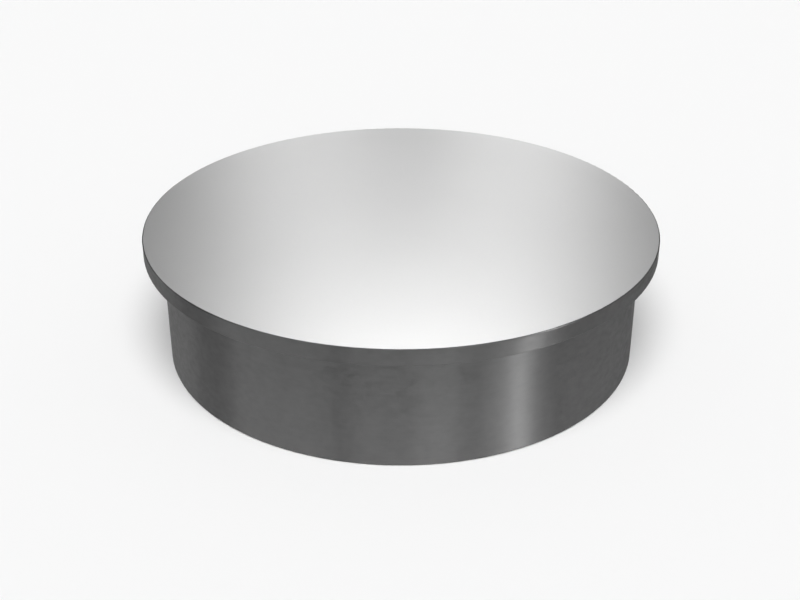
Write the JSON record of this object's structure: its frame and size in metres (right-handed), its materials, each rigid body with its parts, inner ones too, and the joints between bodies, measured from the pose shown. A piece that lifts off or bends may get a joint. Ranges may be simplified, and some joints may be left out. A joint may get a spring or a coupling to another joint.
{
  "type": "sanitary clamp end cap",
  "caption": "Solid round end cap for sanitary tube: a thin flat flange over a short cylindrical plug, turned from one piece of stainless steel.",
  "frame": {"origin": "centre of the plug's flat end, on the cap's axis, so the cap stands on z = 0", "axes": "+Z along the cap's axis, out of the flange's flat face; X and Y are equal, as the cap is round"},
  "size_m": [0.0508, 0.0508, 0.013],
  "materials": {
    "stainless": "fine satin flat face; turned, darker satin rim and plug wall"
  },
  "bodies": {
    "root": {"end_cap": "stainless"}
  },
  "joints": []
}
